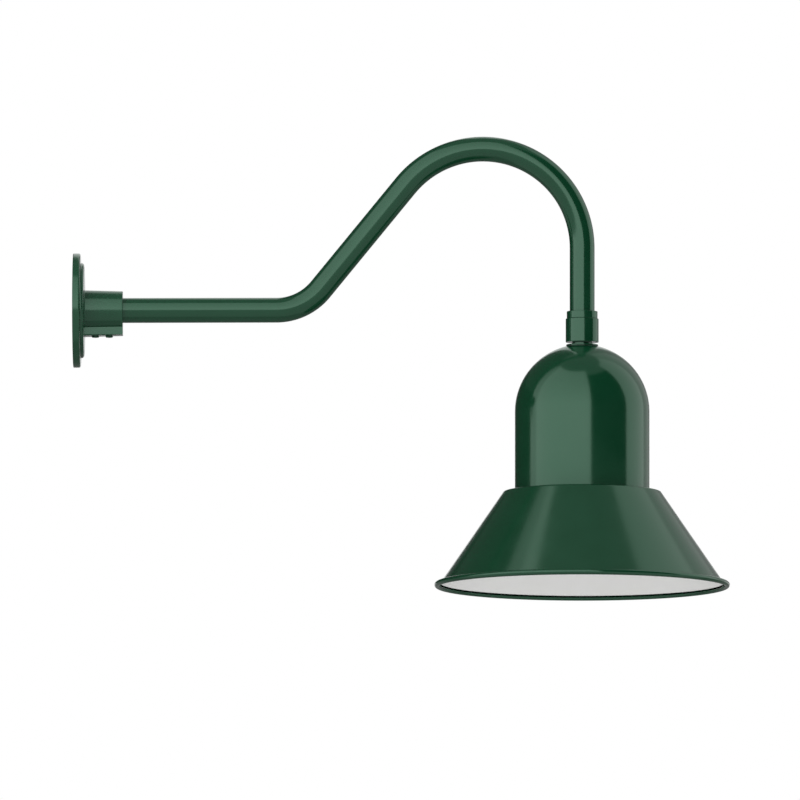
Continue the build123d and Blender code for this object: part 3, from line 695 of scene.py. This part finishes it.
def shade_screws():
    """Slotted pan-head screws put in from below, through the shoulder and the dome's flange."""
    low, high = corners("shade_screws")
    seat = low.z + HEAD_HEIGHT
    radius, tip = SHADE_SCREW_RADIUS, high.z - SHADE_SCREW_PITCH / 2
    section = (
        [Vector((0, high.z)), Vector((radius - SHADE_SCREW_PITCH / 2, high.z))]
        + run(radius, tip, seat, SHADE_SCREW_PITCH)
        + rounded(
            (radius, seat, 0), (HEAD_RADIUS, seat, 0), (HEAD_RADIUS, low.z, HEAD_ROUND), (0, low.z, 0)
        )[1:]
    )
    depth = V_THREAD_DEPTH * SHADE_SCREW_PITCH
    place = threaded(upright(0), v_form, (radius,), SHADE_SCREW_PITCH, depth, seat, tip)
    screw = turned("shade_screw", [(section, zinc)], place, SMALL_TURNS)
    values = {
        "Screw": screw,
        "Slot Size": Vector((3 * HEAD_RADIUS, SLOT_WIDTH, 2 * SLOT_DEPTH)) * MM,
        "Slot Place": Vector((0, 0, low.z)) * MM,
        "Count": SHADE_SCREW_COUNT,
        "Ring Radius": (throat_radius + DOME_FLANGE / 2) * MM,
        "First Turn": pi / SHADE_SCREW_COUNT,
        "Centre": Vector((reach, 0, 0)) * MM,
        "Material": zinc,
    }
    piece = grown("shade_screws_threaded", screw_ring_tree(), values)
    discard(screw)
    stands_for(piece, "shade_screws", "arm_and_shade")


def screw_shell():
    """Drawn brass shell, one sheet thick, with the lamp's rolled thread and a ledge turned in at its top."""
    low, high = corners("screw_shell")
    eye = LAMP_THREAD_RADIUS - SHELL_LEDGE
    inner, outer = LAMP_THREAD_RADIUS, LAMP_THREAD_RADIUS + SHELL_SHEET
    thread_low, thread_high = low.z + SHELL_BEND, high.z - SHELL_BEND
    pitch, depth = LAMP_THREAD_PITCH, LAMP_THREAD_DEPTH
    section = (
        [Vector((eye, high.z)), Vector((inner, high.z))]
        + run(outer, thread_high, low.z, pitch)
        + run(inner, low.z, high.z - SHELL_SHEET, pitch)
        + [Vector((eye, high.z - SHELL_SHEET))]
    )
    place = threaded(upright(reach), knuckle_form, (inner, outer), pitch, depth, thread_low, thread_high)
    piece = turned("screw_shell_rolled", [(section, brass)], place, 2 * SMALL_TURNS)
    rivet_y = (eye + LAMP_THREAD_RADIUS) / 2
    head, shank = RIVET_HEAD_RADIUS + RIVET_GAP, RIVET_RADIUS + RIVET_GAP
    centres = [(reach, -rivet_y), (reach, rivet_y)]
    piece = countersunk(piece, centres, head, shank, high.z - SHELL_SHEET, high.z)
    stands_for(piece, "screw_shell", "arm_and_shade")


def coil_tree():
    """A compression spring with closed ends: its wire climbs one diameter a turn, more between the ends."""
    kinds = {"Turns": "Float", "Coil Radius": "Float", "Wire Radius": "Float", "Height": "Float"}
    kinds |= {"Place": "Vector", "Material": "Material"}
    tree, given = new_tree("coil", kinds)
    turns, wire = given.outputs["Turns"], given.outputs["Wire Radius"]
    radius = given.outputs["Coil Radius"]
    twice = add(tree, "ShaderNodeMath", {0: wire, 1: 2.0}, operation="MULTIPLY")
    closed = add(tree, "ShaderNodeMath", {0: twice.outputs[0], 1: turns}, operation="MULTIPLY")
    line = add(
        tree,
        "GeometryNodeCurveSpiral",
        {
            "Resolution": COIL_STEPS,
            "Rotations": turns,
            "Start Radius": radius,
            "End Radius": radius,
            "Height": closed.outputs[0],
        },
    )
    along = add(tree, "GeometryNodeSplineParameter").outputs["Factor"]
    first = add(tree, "ShaderNodeMath", {0: 1.0, 1: turns}, operation="DIVIDE")
    last = add(tree, "ShaderNodeMath", {0: 1.0, 1: first.outputs[0]}, operation="SUBTRACT")
    height = given.outputs["Height"]
    spare = add(tree, "ShaderNodeMath", {0: height, 1: closed.outputs[0]}, operation="SUBTRACT")
    climb = add(
        tree,
        "ShaderNodeMapRange",
        {
            "Value": along,
            "From Min": first.outputs[0],
            "From Max": last.outputs[0],
            "To Max": spare.outputs[0],
        },
        interpolation_type="SMOOTHSTEP",
    )
    lift = add(tree, "ShaderNodeCombineXYZ", {"Z": climb.outputs["Result"]})
    coil = add(tree, "GeometryNodeSetPosition", {"Geometry": line.outputs[0], "Offset": lift.outputs[0]})
    section = add(tree, "GeometryNodeCurvePrimitiveCircle", {"Resolution": WIRE_SIDES, "Radius": wire})
    swept = add(
        tree,
        "GeometryNodeCurveToMesh",
        {"Curve": coil.outputs[0], "Profile Curve": section.outputs[0], "Fill Caps": True},
    )
    placed = add(
        tree, "GeometryNodeTransform", {"Geometry": swept.outputs[0], "Translation": given.outputs["Place"]}
    )
    end_tree(tree, placed.outputs[0], given.outputs["Material"])
    return tree


def contact_spring():
    """The spring over the centre contact, which on the real lampholder shortens to its chamber's roof as the
    contact is pressed. Here it is wound to the height of the CAD spring.
    """
    low, high = corners("contact_spring")
    height = high.z - low.z - 2 * SPRING_WIRE_RADIUS
    values = {
        "Turns": SPRING_TURNS,
        "Coil Radius": SPRING_RADIUS * MM,
        "Wire Radius": SPRING_WIRE_RADIUS * MM,
        "Height": height * MM,
        "Place": Vector((reach, 0, low.z + SPRING_WIRE_RADIUS)) * MM,
        "Material": spring_wire(),
    }
    piece = grown("contact_spring_wound", coil_tree(), values)
    stands_for(piece, "contact_spring", "arm_and_shade")
    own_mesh(piece)


def soft_copy(node, body, material, soft_angle):
    """A CAD node's shape with its loose triangles joined, smooth where the surface is round."""
    mesh = bmesh.new()
    mesh.from_mesh(frame["nodes"][node].data)
    for face in mesh.faces:
        face.material_index = 0
    bmesh.ops.remove_doubles(mesh, verts=mesh.verts, dist=WELD * MM)
    bmesh.ops.dissolve_limit(mesh, angle_limit=radians(FLAT_ANGLE), verts=mesh.verts, edges=mesh.edges)
    piece = finished(node + "_finished", mesh, [material], soft_angle)
    normals = piece.modifiers.new("normals", "WEIGHTED_NORMAL")
    normals.keep_sharp = True
    stands_for(piece, node, body)


def copied_pieces():
    """The pieces whose CAD shape is right as it stands, by the slot and finish of each."""
    finishes = {
        "green_ground_screw": ground_green(),
        "zinc_plated_steel": zinc,
        "brass": brass,
        "nickel_plated_brass": nickel_brass(),
        "glazed_porcelain": glazed_porcelain(),
        "vulcanised_fibre": vulcanised_fibre(),
        "bushing_nylon": moulded_nylon(),
        "gasket_foam": closed_cell_foam(),
    }
    record = frame["record"]
    slots = {part["node"]: part["material_slot"] for part in record["subparts"]}
    for body, nodes in record["behaviour"]["bodies"].items():
        for node in nodes:
            if frame["nodes"][node].hide_render:
                continue
            if node == "wall_canopy":
                soft_copy(node, body, cast_coat, CASTING_SOFT_ANGLE)
            else:
                soft_copy(node, body, finishes.get(slots[node], coat), SOFT_ANGLE)


# ---------------------------------------------------------------- studio
def towards(azimuth, elevation):
    """The direction at an azimuth and elevation in degrees. Azimuth 0 is the side that the camera is on."""
    a, e = radians(azimuth), radians(elevation)
    return Vector((sin(a) * cos(e), -cos(a) * cos(e), sin(e)))


def camera():
    """The photograph's view, with parallel lines."""
    back = towards(VIEW_AZIMUTH, VIEW_ELEVATION)
    turn = (-back).to_track_quat("-Z", "Y")
    right, up = turn @ Vector((1, 0, 0)), turn @ Vector((0, 1, 0))
    centre = IMAGE_PIXELS / 2
    across, down = (centre - ORIGIN_PIXEL[0]) * MM_PER_PIXEL, (centre - ORIGIN_PIXEL[1]) * MM_PER_PIXEL
    data = bpy.data.cameras.new("photo_camera")
    data.type = "ORTHO"
    data.ortho_scale = IMAGE_PIXELS * MM_PER_PIXEL * MM
    made = bpy.data.objects.new("photo_camera", data)
    made.rotation_mode = "QUATERNION"
    made.rotation_quaternion = turn
    made.location = (right * across - up * down) * MM + back * CAMERA_DISTANCE
    bpy.context.scene.collection.objects.link(made)
    bpy.context.scene.camera = made


def seen_share(tree, rays):
    """The sum of these outputs of Light Path, which is 1 for a ray of one of these kinds."""
    path = add(tree, "ShaderNodeLightPath")
    total = path.outputs[rays[0]]
    for ray in rays[1:]:
        total = add(tree, "ShaderNodeMath", {0: total, 1: path.outputs[ray]}, operation="ADD").outputs[0]
    return total


def world():
    """White to the camera, in reflections and through glass, and a plain soft light for everything else."""
    made = bpy.data.worlds.new("studio")
    made.use_nodes = True
    tree = made.node_tree
    shown = seen_share(tree, ("Is Camera Ray", "Is Glossy Ray", "Is Transmission Ray"))
    strength = add(tree, "ShaderNodeMapRange", {"Value": shown, "To Min": AMBIENT, "To Max": 1.0})
    background = tree.nodes["Background"]
    background.inputs["Color"].default_value = (1, 1, 1, 1)
    tree.links.new(strength.outputs["Result"], background.inputs["Strength"])
    bpy.context.scene.world = made


def floor():
    """A pale floor well below, white to the camera and in reflections but for the object's shadow."""
    mesh = bmesh.new()
    bmesh.ops.create_grid(mesh, x_segments=1, y_segments=1, size=FLOOR_REACH)
    made = bpy.data.materials.new("pale_floor")
    made.use_nodes = True
    tree = made.node_tree
    shader = tree.nodes["Principled BSDF"]
    shader.inputs["Base Color"].default_value = linear("#E8E8E8")
    shader.inputs["Roughness"].default_value = 0.9
    shader.inputs["Emission Color"].default_value = (1, 1, 1, 1)
    shown = seen_share(tree, ("Is Camera Ray", "Is Glossy Ray", "Is Transmission Ray"))
    glow = add(tree, "ShaderNodeMath", {0: shown, 1: FLOOR_GLOW}, operation="MULTIPLY")
    tree.links.new(glow.outputs[0], shader.inputs["Emission Strength"])
    piece = finished("floor", mesh, [made])
    piece.location.z = FLOOR_LEVEL


def patch(azimuths, elevations):
    """A mesh that covers a patch of the sphere round the object, between these angles in degrees."""
    across, up = (ceil((b - a) / CARD_STEP) for a, b in (azimuths, elevations))
    mesh = bmesh.new()
    bmesh.ops.create_grid(mesh, x_segments=across, y_segments=up, size=0.5)
    for vertex in mesh.verts:
        azimuth = azimuths[0] + (azimuths[1] - azimuths[0]) * (vertex.co.x + 0.5)
        elevation = elevations[0] + (elevations[1] - elevations[0]) * (vertex.co.y + 0.5)
        vertex.co = towards(azimuth, elevation) * CARD_DISTANCE
    return mesh


def card(name, azimuths, elevations, low_glow, high_glow):
    """A studio card, a patch of a sphere round the object that is seen only in its gloss. Its glow goes from
    the low value, level with the object, to the high value, overhead."""
    made = bpy.data.materials.new(name)
    made.use_nodes = True
    tree = made.node_tree
    tree.nodes.clear()
    place = add(tree, "ShaderNodeTexCoord").outputs["Object"]
    level = add(tree, "ShaderNodeSeparateXYZ", {0: place}).outputs["Z"]
    glow = add(
        tree,
        "ShaderNodeMapRange",
        {"Value": level, "From Max": CARD_DISTANCE, "To Min": low_glow, "To Max": high_glow},
    )
    light = add(tree, "ShaderNodeEmission", {"Strength": glow.outputs["Result"]})
    add(tree, "ShaderNodeOutputMaterial", {"Surface": light.outputs[0]})
    piece = finished(name, patch(azimuths, elevations), [made])
    piece.location = STUDIO_CENTRE
    piece.visible_camera = piece.visible_diffuse = piece.visible_transmission = piece.visible_shadow = False


def lamp(name, azimuth, elevation, size, power):
    """A large soft area lamp aimed at the object. The cards stand for it in reflections."""
    data = bpy.data.lights.new(name, "AREA")
    data.shape = "DISK"
    data.size = size
    data.energy = power
    made = bpy.data.objects.new(name, data)
    way = towards(azimuth, elevation)
    made.location = STUDIO_CENTRE + way * LAMP_DISTANCE
    made.rotation_mode = "QUATERNION"
    made.rotation_quaternion = way.to_track_quat("Z", "Y")
    made.visible_glossy = False
    bpy.context.scene.collection.objects.link(made)


def studio():
    """A light tent with one large softbox left of the camera, a weaker light on the right, and dark gaps."""
    world()
    floor()
    for values in CARDS:
        card(*values)
    lamp("key_lamp", -35, 40, 1.6, 20)
    camera()
    bpy.context.scene.view_settings.view_transform = "Standard"


gooseneck_arm()
dome_hood()
reflector_skirt()
set_screws()
shade_screws()
screw_shell()
contact_spring()
copied_pieces()
studio()
